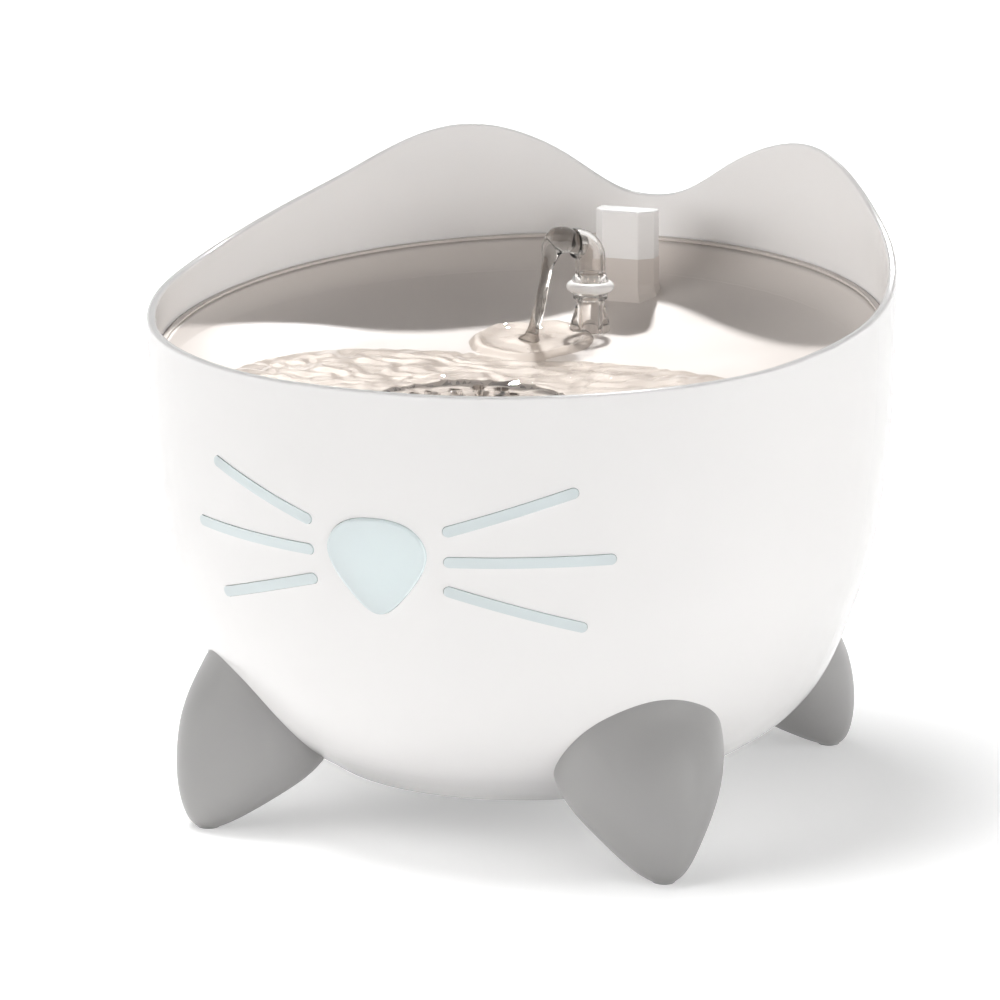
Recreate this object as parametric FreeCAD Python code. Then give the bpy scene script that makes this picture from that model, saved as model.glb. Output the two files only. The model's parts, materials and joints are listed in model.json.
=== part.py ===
import FreeCAD, Part
import math
import os
from FreeCAD import Vector

# Pet water fountain. Millimetres, +Z up, origin on the floor under the reservoir's axis.
# The nose side faces -Y. Angles are measured around Z from -Y towards +X.

# Reservoir: outer profile as radius and height, wall, floor and the shelf that carries the tray
BODY_PROFILE = [(64.5, 15.8), (75, 22.4), (89.3, 32), (101, 46), (108.6, 64), (114.9, 84), (118.8, 106),
                (121.1, 130), (122, 160), (120.9, 207), (120.5, 216)]
WALL = 2.8
FLOOR_TOP = 18.4
BOTTOM = 15.8
RIM_BORE = 119.2
SHELF_Z = 137.0
SHELF_BORE = 115.8
SHELF_HEIGHT = 1.4
RIM_ROUNDING = 0.8

# Height of the rim at angles from the front: low in front, an ear on each side of the back
RIM_HEIGHTS = [(0, 159.6), (22, 159.7), (42, 160.8), (60, 162.5), (76, 166.2), (90, 170.0), (104, 176.2),
               (116, 183.6), (128, 192.6), (138, 201.8), (148, 206.8), (157, 204.2), (166, 195.6),
               (174, 185.6), (180, 183.2)]

# Dry chamber under the floor, closed by a cover with four screws
CHAMBER_X = 36.0
CHAMBER_FRONT = -45.0
CHAMBER_BACK = 20.0
CHAMBER_TOP = 29.0
CHAMBER_WALL = 2.6
COVER_THICK = 2.4
COVER_GAP = 0.3
COVER_SCREW_INSET = 6.0
COVER_SCREW_R = 1.25

# Feet: sections at heights, each from an inner to an outer radius with a half width
FOOT_SECTIONS = [(0.6, 105.5, 113.6, 4.2), (2.5, 101.0, 115.6, 7.4), (6, 94.0, 117.4, 11.2),
                 (12, 83.5, 118.9, 16.3), (18, 75.0, 119.4, 21.0), (26, 69.0, 119.0, 25.5),
                 (36, 68.0, 117.2, 27.7), (46, 74.0, 113.0, 26.5), (54, 82.0, 108.5, 22.4),
                 (61, 90.0, 103.8, 16.8)]
FOOT_NARROWING = 0.12
FOOT_WALL = 2.5
FRONT_FOOT_ANGLE = 46.2
REAR_FOOT_ANGLE = 141.0
REAR_TIP_SHIFT = 12.0
FOOT_SHIFT_END = 80.0
FOOT_SCREW_RADIUS = 88.0
FOOT_SCREW_R = 1.5
FOOT_HEAD_R = 3.0
FOOT_SEAT_Z = 17.0
FOOT_SCREW_TOP = 40.0
PAD_R = 3.6
PAD_TOP = 1.8

# Windows: whisker bars from outer end to inner end as angle and height, and the nose outline
WHISKERS = [((30.5, 130.1), (10.45, 116.5)), ((36.25, 108.0), (10.55, 107.1)), ((31.85, 85.5), (10.55, 98.0))]
WHISKER_WALL_R = 119.0
BAR_WIDTH = 3.4
BAR_PROUD = 0.45
SLOT_GAP = 0.12
NOSE_OUTLINE = [(0, 119.7), (6.0, 119.2), (11.0, 117.4), (14.8, 113.9), (16.5, 109.0), (15.2, 104.0),
                (11.6, 98.2), (7.0, 92.8), (3.0, 89.4), (0, 88.5)]
NOSE_PROUD = 1.1
NOSE_BEVEL = 0.8
SEAL_THICK = 0.8
CARRIER_THICK = 1.6
CARRIER_ANGLE = 22.0

# Flange of the nose window and the lamp cover behind it
NOSE_FLANGE_HALF = 17.8
NOSE_FLANGE_LOW = 86.5
NOSE_FLANGE_HIGH = 121.5
LAMP_DEPTH = 15.0
LAMP_WALL = 1.2
LAMP_BOARD_Y = -107.2

# Drinking tray: the rim follows a plane that rises to the back, the dish is tilted less
TRAY_R = 118.8
TRAY_WALL = 1.8
TRAY_THICK = 2.2
RIM_MID_Z = 155.9
RIM_SLOPE = 0.11
DISH_SLOPE = 0.08
FRONT_LIP_Z = 152.0
DISH_PROFILE = [(0, -15.6), (40, -15.4), (66, -14.8), (82, -13.5), (95, -11.0), (106, -7.8), (114, -4.4),
                (122, 1.5)]
GASKET_THICK = 1.2
FLANGE_THICK = 2.2
SKIRT_BOTTOM = 130.0
SKIRT_R = 115.4

# Filter well in the pool
WELL_Y = -45.0
WELL_R = 33.0
WELL_WALL = 2.0
SEAT_BORE = 27.5
SEAT_Z = 131.8
SEAT_THICK = 2.2
BASKET_R = 27.3
BASKET_BOTTOM = 104.0
BASKET_WALL = 1.6
FRAME_R = 25.2
FRAME_BOTTOM = 105.9
FRAME_TOP = 128.0
GRILLE_R = 32.5
GRILLE_THICK = 2.2

# Spout and its stem stand on a vertical axis behind the pool
SPOUT_Y = 62.0
STEM_SPIGOT_R = 6.0
STEM_BASE_Z = 145.4
STEM_SHOULDER_Z = 158.0
STEM_NECK_R = 4.0
STEM_TOP_Z = 165.5
STEM_BORE = 2.9
ELBOW_R = 5.1
ELBOW_BORE = 3.6
ELBOW_LOW_Z = 158.3
ELBOW_BEND_Z = 169.9
ELBOW_BEND_R = 6.0
OUTLET_REACH = 6.3
SPOUT_TURN = 37.0
SWIVEL_CLEARANCE = 0.07
SOCKET_R = 6.2
SOCKET_HIGH_Z = 163.2
COLLAR_Z = 160.7
COLLAR_MEAN_R = 6.35
COLLAR_THICK_R = 1.75

# Grip behind the spout: its foot is part of the tray, its cap lifts off
GRIP_FRONT = 90.0
GRIP_BACK = 100.0
GRIP_HALF_WIDTH = 10.65
GRIP_FACE_HALF = 6.5
GRIP_CHAMFER_Y = 94.6
GRIP_SPLIT_Z = 165.5
GRIP_TOP_Z = 182.0
GRIP_FLARE = 1.18
PEG_R = 3.0

# Pump under the spout. Its rotor lies along Y
PUMP_AXIS_Z = 41.0
PUMP_HALF_WIDTH = 17.5
PUMP_FRONT = 28.0
PUMP_LOW = 24.0
INTAKE_LOW = 30.5
PUMP_HIGH = 60.0
PUMP_BACK = 67.0
ROTOR_CAN_R = 11.0
ROTOR_CAN_FRONT = 34.0
VOLUTE_FRONT = 56.0
VOLUTE_R = 15.0
SHAFT_R = 1.5
IMPELLER_R = 13.0
MAGNET_R = 9.6
HUB_R = 4.0
RISER_R = 5.0
RISER_BORE = 3.6
RISER_TOP = 136.0
OUTLET_TOP = 71.0
DIAL_R = 8.0
DIAL_PEG_R = 2.0

# Socket for the low-voltage plug, in the base cover
SOCKET_Y = 11.0
SOCKET_HALF = 6.5
SOCKET_BORE = 3.4

# Leads from the pump and the lamp into the dry chamber: holes as place and radius, and the runs
PUMP_LEAD_R = 2.4
LAMP_LEAD_R = 1.6
PUMP_LEAD_HOLE = (14.0, 6.0, 4.0)
LAMP_LEAD_HOLE = (0.0, -36.0, 3.2)
PUMP_LEAD = [Vector(14, PUMP_FRONT, 48), Vector(14, 17, 48), Vector(14, 8.5, 44), Vector(14, 6, 37),
             Vector(14, 6, CHAMBER_TOP)]
LAMP_LEAD = [Vector(0, -105.5, NOSE_FLANGE_LOW + 1.2), Vector(0, -105.5, 73), Vector(0, -99.5, 60),
             Vector(0, -89.5, 48.5), Vector(0, -77, 40), Vector(0, -62, 37.5), Vector(0, -49, 42),
             Vector(0, -40, 42.5), Vector(0, -36, 36.5), Vector(0, -36, CHAMBER_TOP)]

UP = Vector(0, 0, 1)
FORE_AFT = Vector(0, 1, 0)


def polar(angle, radius, z):
    """Point at an angle from the front, positive towards +X."""
    turn = math.radians(angle)
    return Vector(radius * math.sin(turn), -radius * math.cos(turn), z)


def cylinder(radius, low, high, x=0.0, y=0.0):
    return Part.makeCylinder(radius, high - low, Vector(x, y, low), UP)


def rod(radius, front, back, z):
    """Cylinder along Y in the middle plane."""
    return Part.makeCylinder(radius, back - front, Vector(0, front, z), FORE_AFT)


def box(x_low, x_high, y_low, y_high, z_low, z_high):
    return Part.makeBox(x_high - x_low, y_high - y_low, z_high - z_low, Vector(x_low, y_low, z_low))


def ring(outer, inner, low, high, x=0.0, y=0.0):
    return cylinder(outer, low, high, x, y).cut(cylinder(inner, low - 1, high + 1, x, y))


def rounded_block(x_low, x_high, y_low, y_high, z_low, z_high, radius):
    """Box whose upright edges are rounded."""
    block = box(x_low, x_high, y_low, y_high, z_low, z_high)
    upright = [edge for edge in block.Edges if abs(edge.tangentAt(0).z) > 0.9]
    return block.makeFillet(radius, upright)


def prism(points, low, high):
    wire = Part.makePolygon([Vector(x, y, low) for x, y in points + points[:1]])
    return Part.Face(wire).extrude(Vector(0, 0, high - low))


def turned(points):
    """Solid of revolution about Z from a closed outline of radius and height pairs."""
    wire = Part.makePolygon([Vector(r, 0, z) for r, z in points + points[:1]])
    return Part.Face(wire).revolve(Vector(0, 0, 0), UP, 360)


def join(shapes):
    solid = shapes[0]
    for shape in shapes[1:]:
        solid = solid.fuse(shape)
    return solid.removeSplitter()


def spline(points):
    curve = Part.BSplineCurve()
    curve.interpolate(points)
    return curve


def offset_profile(offset):
    """The reservoir's outer profile moved outwards by an offset, as a curve in the XZ plane."""
    points = [Vector(r, 0, z) for r, z in BODY_PROFILE]
    curve = spline(points)
    moved = []
    for point in points:
        along = curve.tangent(curve.parameter(point))[0]
        outward = Vector(along.z, 0, -along.x)
        moved.append(point + outward * offset)
    return spline(moved)


def bulk(offset):
    """Everything inside the reservoir's outer surface, moved outwards by an offset."""
    curve = offset_profile(offset)
    low = curve.StartPoint
    high = curve.EndPoint
    edges = [Part.LineSegment(Vector(0, 0, low.z), low).toShape(), curve.toShape(),
             Part.LineSegment(high, Vector(0, 0, high.z)).toShape(),
             Part.LineSegment(Vector(0, 0, high.z), Vector(0, 0, low.z)).toShape()]
    return Part.Face(Part.Wire(edges)).revolve(Vector(0, 0, 0), UP, 360)


def skin(outer, inner):
    """Layer that follows the reservoir's wall between two offsets."""
    return bulk(outer).cut(bulk(inner))


def tube(points, radius):
    """Round lead along straight runs joined by tangent arcs as large as the runs allow."""
    edges = []
    start = points[0]
    for before, corner, after in zip(points, points[1:], points[2:]):
        back = before - corner
        ahead = after - corner
        shorter = min(back.Length, ahead.Length)
        half_turn = (math.pi - back.getAngle(ahead)) / 2
        reach = 0.45 * shorter
        arc_radius = reach / math.tan(half_turn)
        print("lead arc radius", round(arc_radius, 1))
        arc_start = corner + back.normalize() * reach
        arc_end = corner + ahead.normalize() * reach
        to_centre = (back + ahead).normalize()
        middle = corner + to_centre * (arc_radius / math.cos(half_turn) - arc_radius)
        edges.append(Part.LineSegment(start, arc_start).toShape())
        edges.append(Part.Arc(arc_start, middle, arc_end).toShape())
        start = arc_end
    edges.append(Part.LineSegment(start, points[-1]).toShape())
    path = Part.Wire(edges)
    section = Part.Wire(Part.makeCircle(radius, points[0], points[1] - points[0]))
    lead = path.makePipeShell([section], True, False)
    print("lead length", round(path.Length, 1), "volume ratio",
          round(lead.Volume / (math.pi * radius ** 2 * path.Length), 4))
    return lead


# Reservoir

def rim_cutter():
    """Everything above the rim line, as a ring around the wall."""
    stations = RIM_HEIGHTS + [(360 - angle, z) for angle, z in reversed(RIM_HEIGHTS[1:-1])]
    marks = [angle / 360 for angle, _ in stations] + [1.0]
    edges = []
    for radius in (112, 128):
        curve = Part.BSplineCurve()
        curve.interpolate(Points=[polar(angle, radius, z) for angle, z in stations],
                          Parameters=marks, PeriodicFlag=True)
        edges.append(curve.toShape())
    return Part.makeRuledSurface(edges[0], edges[1]).extrude(Vector(0, 0, 80))


def chamber_posts():
    inset = COVER_SCREW_INSET
    return [(side * (CHAMBER_X - inset), y) for side in (-1, 1)
            for y in (CHAMBER_FRONT + inset, CHAMBER_BACK - inset)]


def foot_places():
    """Node name, angle and outward shift of the tip for each foot."""
    return [("foot_front_left", -FRONT_FOOT_ANGLE, 0.0), ("foot_front_right", FRONT_FOOT_ANGLE, 0.0),
            ("foot_rear_left", -REAR_FOOT_ANGLE, REAR_TIP_SHIFT),
            ("foot_rear_right", REAR_FOOT_ANGLE, REAR_TIP_SHIFT)]


def reservoir_interior():
    below_shelf = bulk(-WALL).cut(box(-200, 200, -200, 200, 0, FLOOR_TOP))
    below_shelf = below_shelf.cut(box(-200, 200, -200, 200, SHELF_Z, 300))
    slope = 125 - SHELF_BORE
    shelf = turned([(SHELF_BORE, SHELF_Z + 1), (SHELF_BORE, SHELF_Z - SHELF_HEIGHT),
                    (125, SHELF_Z - SHELF_HEIGHT - slope), (125, SHELF_Z + 1)])
    return below_shelf.cut(shelf).fuse(cylinder(RIM_BORE, SHELF_Z, 230))


def round_rim(shell):
    rim = [edge for edge in shell.Edges if edge.Length > 300 and edge.BoundBox.ZLength > 30]
    return shell.makeFillet(RIM_ROUNDING, rim)


def reservoir_shell():
    body = bulk(0)
    shell = body.cut(reservoir_interior()).cut(rim_cutter())
    shell = round_rim(shell)
    wall = CHAMBER_WALL
    hump = rounded_block(-CHAMBER_X - wall, CHAMBER_X + wall, CHAMBER_FRONT - wall, CHAMBER_BACK + wall,
                         BOTTOM, CHAMBER_TOP + wall, 8.6)
    additions = [shell, hump]
    for _, angle, _ in foot_places():
        centre = polar(angle, FOOT_SCREW_RADIUS, 0)
        boss = cylinder(4.5, 24, FOOT_SCREW_TOP + 4, centre.x, centre.y)
        additions.append(boss.common(body))
    shell = join(additions)
    shell = shell.cut(rounded_block(-CHAMBER_X, CHAMBER_X, CHAMBER_FRONT, CHAMBER_BACK,
                                    BOTTOM - 1, CHAMBER_TOP, 6))
    posts = [cylinder(4, BOTTOM + COVER_THICK, CHAMBER_TOP + 1, x, y) for x, y in chamber_posts()]
    shell = join([shell] + posts)
    for x, y in chamber_posts():
        shell = shell.cut(cylinder(COVER_SCREW_R, BOTTOM, CHAMBER_TOP - 1, x, y))
    for _, angle, _ in foot_places():
        centre = polar(angle, FOOT_SCREW_RADIUS, 0)
        shell = shell.cut(cylinder(FOOT_SCREW_R, 20, FOOT_SCREW_TOP, centre.x, centre.y))
    for side in (-1, 1):
        shell = shell.cut(join(whisker_bars(side, SLOT_GAP)))
    shell = shell.cut(nose_prism(SLOT_GAP))
    for x, y, radius in (PUMP_LEAD_HOLE, LAMP_LEAD_HOLE):
        shell = shell.cut(cylinder(radius, CHAMBER_TOP - 1, CHAMBER_TOP + wall + 1, x, y))
    return shell


# Windows in the front wall

def flat_slot(first, last, width, along):
    """Rounded bar between two points, pushed through the wall along a direction."""
    run = last - first
    across = along.cross(run).normalize() * (width / 2)
    tip = run.normalize() * (width / 2)
    corners = [first + across, last + across, last - across, first - across]
    edges = [Part.LineSegment(corners[0], corners[1]).toShape(),
             Part.Arc(corners[1], last + tip, corners[2]).toShape(),
             Part.LineSegment(corners[2], corners[3]).toShape(),
             Part.Arc(corners[3], first - tip, corners[0]).toShape()]
    return Part.Face(Part.Wire(edges)).extrude(along * 34)


def whisker_bars(side, growth):
    """Three bars on one side, each widened by a growth on every edge."""
    bars = []
    for (outer_angle, outer_z), (inner_angle, inner_z) in WHISKERS:
        along = polar(side * (outer_angle + inner_angle) / 2, 1, 0)
        ends = [polar(side * angle, WHISKER_WALL_R, z) - along * 22
                for angle, z in ((outer_angle, outer_z), (inner_angle, inner_z))]
        inset = (ends[1] - ends[0]).normalize() * (BAR_WIDTH / 2)
        bars.append(flat_slot(ends[0] + inset, ends[1] - inset, BAR_WIDTH + 2 * growth, along))
    return bars


def carrier_prism(side):
    """Outline around the three bars of one side, as distances towards the back and heights."""
    outline = [(-24.1, 94), (14, 82), (22.5, 82), (31, 102), (31, 113), (22.5, 132.6), (14, 132.6),
               (-24.1, 120.5)]
    along = polar(side * CARRIER_ANGLE, 1, 0)
    backwards = polar(side * (CARRIER_ANGLE + 90), 1, 0)
    points = [along * 92 + backwards * distance + UP * z for distance, z in outline]
    return Part.Face(Part.makePolygon(points + points[:1])).extrude(along * 40)


def whisker_window(side):
    behind = -WALL - SEAL_THICK
    bars = join(whisker_bars(side, 0)).common(skin(BAR_PROUD, behind - 0.5))
    carrier = carrier_prism(side).common(skin(behind, behind - CARRIER_THICK))
    return join([carrier, bars])


def whisker_seal(side):
    seal = carrier_prism(side).common(skin(-WALL, -WALL - SEAL_THICK))
    return seal.cut(join(whisker_bars(side, SLOT_GAP)))


def nose_prism(growth):
    """The nose outline pushed through the front wall."""
    middle_z = 106
    right = [(x + growth * (1 if x > 0 else 0), z + growth * (1 if z > middle_z else -1))
             for x, z in NOSE_OUTLINE]
    left = [(-x, z) for x, z in reversed(right[1:-1])]
    curve = Part.BSplineCurve()
    curve.interpolate(Points=[Vector(x, -100, z) for x, z in right + left], PeriodicFlag=True)
    return Part.Face(Part.Wire(curve.toShape())).extrude(Vector(0, -34, 0))


def flange_slab(inset):
    """Upright rounded rectangle pushed through the front wall."""
    half_width = NOSE_FLANGE_HALF - inset
    slab = box(-half_width, half_width, -140, -90, NOSE_FLANGE_LOW + inset, NOSE_FLANGE_HIGH - inset)
    long_edges = [edge for edge in slab.Edges if abs(edge.tangentAt(0).y) > 0.9]
    return slab.makeFillet(6 - inset, long_edges)


def nose_flange(outer, inner):
    return flange_slab(0).common(skin(outer, inner))


def nose_lens():
    behind = -WALL - SEAL_THICK
    stud = nose_prism(0).common(skin(NOSE_PROUD, behind - 0.5))
    front = [edge for edge in stud.Edges if edge.CenterOfMass.y < -117 and edge.Length > 20]
    stud = stud.makeFillet(NOSE_BEVEL, front)
    return join([stud, nose_flange(behind, behind - CARRIER_THICK)])


def nose_seal():
    return nose_flange(-WALL, -WALL - SEAL_THICK).cut(nose_prism(SLOT_GAP))


def nose_lamp_cover():
    flange_back = -WALL - SEAL_THICK - CARRIER_THICK
    outside = flange_slab(0).common(skin(flange_back, -LAMP_DEPTH))
    inside = flange_slab(LAMP_WALL).common(skin(0, LAMP_WALL - LAMP_DEPTH))
    end = LAMP_LEAD[0]
    return outside.cut(inside).cut(cylinder(LAMP_LEAD_R, end.z - 3, end.z + 3, end.x, end.y))


def nose_lamp_board():
    board = box(-10, 10, LAMP_BOARD_Y - 1.2, LAMP_BOARD_Y, 94, 114)
    lamps = [box(x - 1.8, x + 1.8, LAMP_BOARD_Y - 2.4, LAMP_BOARD_Y - 1.2, 102, 105.6) for x in (-7, 0, 7)]
    return join([board] + lamps)


# Feet

def foot_loft(angle, tip_shift, inset, low):
    """Stack of egg-shaped sections through the foot, narrower outwards, drawn in by an inset."""
    sections = []
    across = polar(angle + 90, 1, 0)
    outward = polar(angle, 1, 0)
    for z, inner, outer, half_width in FOOT_SECTIONS:
        if z < low:
            continue
        shift = tip_shift * max(0.0, 1 - z / FOOT_SHIFT_END)
        centre = outward * ((inner + outer) / 2 + shift) + UP * z
        length = outward * ((outer - inner) / 2 - inset)
        width = across * (half_width - inset)
        points = []
        for step in range(16):
            turn = math.pi * step / 8
            narrowing = 1 - FOOT_NARROWING * math.cos(turn)
            points.append(centre + length * math.cos(turn) + width * (math.sin(turn) * narrowing))
        oval = Part.BSplineCurve()
        oval.interpolate(Points=points, PeriodicFlag=True)
        sections.append(Part.Wire(oval.toShape()))
    return Part.makeLoft(sections, True, False)


def foot(angle, tip_shift):
    screw = polar(angle, FOOT_SCREW_RADIUS, 0)
    outside = foot_loft(angle, tip_shift, 0, 0)
    hollow = foot_loft(angle, tip_shift, FOOT_WALL, 6)
    post = cylinder(5.6, 2, 60, screw.x, screw.y).common(outside)
    shape = join([outside.cut(hollow), post]).cut(bulk(0))
    shape = shape.cut(cylinder(FOOT_HEAD_R + 0.4, 0, FOOT_SEAT_Z, screw.x, screw.y))
    shape = shape.cut(cylinder(FOOT_SCREW_R, 0, FOOT_SCREW_TOP, screw.x, screw.y))
    tip = foot_tip(angle, tip_shift)
    return shape.cut(cylinder(PAD_R, 0, PAD_TOP, tip.x, tip.y))


def foot_tip(angle, tip_shift):
    _, inner, outer, _ = FOOT_SECTIONS[0]
    return polar(angle, (inner + outer) / 2 + tip_shift, 0)


def foot_pads():
    tips = [foot_tip(angle, shift) for _, angle, shift in foot_places()]
    return Part.makeCompound([cylinder(PAD_R, 0, PAD_TOP, tip.x, tip.y) for tip in tips])


def foot_screws():
    screws = []
    for _, angle, _ in foot_places():
        centre = polar(angle, FOOT_SCREW_RADIUS, 0)
        head = cylinder(FOOT_HEAD_R, FOOT_SEAT_Z - 2.4, FOOT_SEAT_Z, centre.x, centre.y)
        slot = cylinder(1.3, FOOT_SEAT_Z - 3, FOOT_SEAT_Z - 1.2, centre.x, centre.y)
        shank = cylinder(FOOT_SCREW_R, FOOT_SEAT_Z - 1, FOOT_SCREW_TOP - 1, centre.x, centre.y)
        screws.append(join([head, shank]).cut(slot))
    return Part.makeCompound(screws)


# Dry chamber

def base_cover():
    gap = COVER_GAP
    top = BOTTOM + COVER_THICK
    plate = rounded_block(-CHAMBER_X + gap, CHAMBER_X - gap, CHAMBER_FRONT + gap, CHAMBER_BACK - gap,
                          BOTTOM, top, 5.7)
    standoffs = [cylinder(2.6, top - 1, top + 3.6, x, y) for x in (-18, 18) for y in (-36, -6)]
    cover = join([plate] + standoffs)
    cover = cover.cut(cylinder(SOCKET_BORE + 1.2, BOTTOM - 1, top + 1, 0, SOCKET_Y))
    for x, y in chamber_posts():
        cover = cover.cut(cylinder(COVER_SCREW_R, BOTTOM - 1, top + 1, x, y))
        cover = cover.cut(cylinder(2.7, BOTTOM - 1, BOTTOM + 1.3, x, y))
    return cover


def base_cover_screws():
    screws = []
    for x, y in chamber_posts():
        head = cylinder(2.6, BOTTOM + 0.1, BOTTOM + 1.3, x, y)
        shank = cylinder(COVER_SCREW_R, BOTTOM + 1, CHAMBER_TOP - 2, x, y)
        drive = cylinder(1.0, BOTTOM, BOTTOM + 0.9, x, y)
        screws.append(join([head, shank]).cut(drive))
    return Part.makeCompound(screws)


def power_socket():
    low = BOTTOM + COVER_THICK
    block = box(-SOCKET_HALF, SOCKET_HALF, SOCKET_Y - SOCKET_HALF, SOCKET_Y + SOCKET_HALF, low, CHAMBER_TOP)
    collar = cylinder(SOCKET_BORE + 1.2, BOTTOM, low, 0, SOCKET_Y)
    bore = cylinder(SOCKET_BORE, BOTTOM - 1, CHAMBER_TOP - 2, 0, SOCKET_Y)
    pin = cylinder(1.0, CHAMBER_TOP - 6, CHAMBER_TOP - 1.5, 0, SOCKET_Y)
    return join([join([block, collar]).cut(bore), pin])


def control_board():
    low = BOTTOM + COVER_THICK + 3.6
    board = box(-22, 22, -41, -2, low, low + 1.6)
    parts = [box(-16, -6, -34, -24, low + 1.6, low + 3.4), box(4, 16, -32, -26, low + 1.6, low + 4.6),
             box(-4, 8, -14, -6, low + 1.6, low + 5.0)]
    return join([board] + parts)


def lead_grommets():
    grommets = []
    low = CHAMBER_TOP
    high = CHAMBER_TOP + CHAMBER_WALL
    for (x, y, hole), lead in ((PUMP_LEAD_HOLE, PUMP_LEAD_R), (LAMP_LEAD_HOLE, LAMP_LEAD_R)):
        body = join([cylinder(hole, low, high, x, y), cylinder(hole + 1.4, high, high + 1.6, x, y)])
        grommets.append(body.cut(cylinder(lead, low - 1, high + 3, x, y)))
    return Part.makeCompound(grommets)


# Pump

def pump_housing():
    low = PUMP_LOW
    block = rounded_block(-PUMP_HALF_WIDTH, PUMP_HALF_WIDTH, PUMP_FRONT, PUMP_BACK, low, PUMP_HIGH, 4)
    outlet = cylinder(RISER_R, PUMP_HIGH - 2, OUTLET_TOP, 0, SPOUT_Y)
    housing = join([block, outlet])
    housing = housing.cut(rod(ROTOR_CAN_R, ROTOR_CAN_FRONT, VOLUTE_FRONT + 1, PUMP_AXIS_Z))
    housing = housing.cut(rod(VOLUTE_R, VOLUTE_FRONT, PUMP_BACK + 1, PUMP_AXIS_Z))
    housing = housing.cut(rod(3.5, ROTOR_CAN_FRONT - 3, ROTOR_CAN_FRONT + 1, PUMP_AXIS_Z))
    return housing.cut(cylinder(RISER_BORE, PUMP_AXIS_Z + 10, OUTLET_TOP + 1, 0, SPOUT_Y))


def impeller_cover():
    back = PUMP_BACK + 2.5
    plate = rounded_block(-PUMP_HALF_WIDTH, PUMP_HALF_WIDTH, PUMP_BACK, back, PUMP_LOW, PUMP_HIGH, 0.8)
    inlet = rod(9, PUMP_BACK - 1, back + 1, PUMP_AXIS_Z).cut(rod(4.5, PUMP_BACK - 1, back + 1, PUMP_AXIS_Z))
    for turn in (90, 210, 330):
        spoke = box(0, 12, PUMP_BACK - 2, back + 2, PUMP_AXIS_Z - 1.2, PUMP_AXIS_Z + 1.2)
        spoke.rotate(Vector(0, 0, PUMP_AXIS_Z), FORE_AFT, turn)
        inlet = inlet.cut(spoke)
    cover = plate.cut(inlet)
    return cover.cut(rod(3.0, PUMP_BACK - 1, PUMP_BACK + 1.8, PUMP_AXIS_Z))


def intake_grille():
    front = PUMP_BACK + 2.5
    back = front + 9
    wall = 1.8
    cup = rounded_block(-PUMP_HALF_WIDTH, PUMP_HALF_WIDTH, front, back, INTAKE_LOW, PUMP_HIGH, 3)
    cup = cup.cut(box(wall - PUMP_HALF_WIDTH, PUMP_HALF_WIDTH - wall, front - 1, back - wall,
                      INTAKE_LOW + wall, PUMP_HIGH - wall))
    for side in (-1, 1):
        for row in range(5):
            z = INTAKE_LOW + 3 + 5.2 * row
            x = side * 12.6
            cup = cup.cut(box(x - 2.6, x + 2.6, back - 3, back + 1, z, z + 2.4))
    return cup.cut(rod(DIAL_PEG_R + 0.06, back - 3, back + 1, PUMP_AXIS_Z))


def flow_dial():
    face = PUMP_BACK + 2.5 + 9 + 0.3
    disc = rod(DIAL_R, face, face + 2.2, PUMP_AXIS_Z)
    grip = box(-1.2, 1.2, face + 2, face + 5, PUMP_AXIS_Z - 7, PUMP_AXIS_Z + 7)
    peg = rod(DIAL_PEG_R, face - 3.4, face + 1, PUMP_AXIS_Z)
    return join([disc, grip, peg])


def impeller():
    hub = rod(HUB_R, 36, 65, PUMP_AXIS_Z)
    disc = rod(IMPELLER_R - 1, 57, 58.2, PUMP_AXIS_Z)
    wheel = [hub, disc]
    for blade in range(6):
        vane = box(-0.7, 0.7, 57.6, 64.6, PUMP_AXIS_Z + HUB_R - 1, PUMP_AXIS_Z + IMPELLER_R)
        vane.rotate(Vector(0, 0, PUMP_AXIS_Z), FORE_AFT, 60 * blade)
        wheel.append(vane)
    return join(wheel).cut(rod(SHAFT_R + 0.06, 30, 70, PUMP_AXIS_Z))


def rotor_magnet():
    return rod(MAGNET_R, 37, 55, PUMP_AXIS_Z).cut(rod(HUB_R, 36, 56, PUMP_AXIS_Z))


def rotor_shaft():
    return rod(SHAFT_R, ROTOR_CAN_FRONT - 3, PUMP_BACK + 1.8, PUMP_AXIS_Z)


def rotor_bushes():
    front = rod(3.5, ROTOR_CAN_FRONT - 3, ROTOR_CAN_FRONT + 1.2, PUMP_AXIS_Z)
    rear = rod(3.0, PUMP_BACK - 1.2, PUMP_BACK + 1.8, PUMP_AXIS_Z)
    bore = rod(SHAFT_R, 20, 80, PUMP_AXIS_Z)
    return Part.makeCompound([front.cut(bore), rear.cut(bore)])


def pump_suction_cups():
    profile = [(0, PUMP_LOW), (0, FLOOR_TOP + 1.5), (3.5, FLOOR_TOP + 1.2), (6.4, FLOOR_TOP),
               (7, FLOOR_TOP), (4.2, PUMP_LOW - 1.6), (4.2, PUMP_LOW)]
    cups = []
    for x in (-12, 12):
        for y in (34, 54):
            cup = turned(profile)
            cup.translate(Vector(x, y, 0))
            cups.append(cup)
    return Part.makeCompound(cups)


def riser_tube():
    shoulder = PUMP_HIGH + 1
    pipe = join([cylinder(RISER_R + 2, shoulder, OUTLET_TOP + 4, 0, SPOUT_Y),
                 cylinder(RISER_R, OUTLET_TOP + 3, RISER_TOP, 0, SPOUT_Y)])
    pipe = pipe.cut(cylinder(RISER_R, shoulder - 1, OUTLET_TOP, 0, SPOUT_Y))
    return pipe.cut(cylinder(RISER_BORE, shoulder - 1, RISER_TOP + 1, 0, SPOUT_Y))


# Drinking tray

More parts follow.
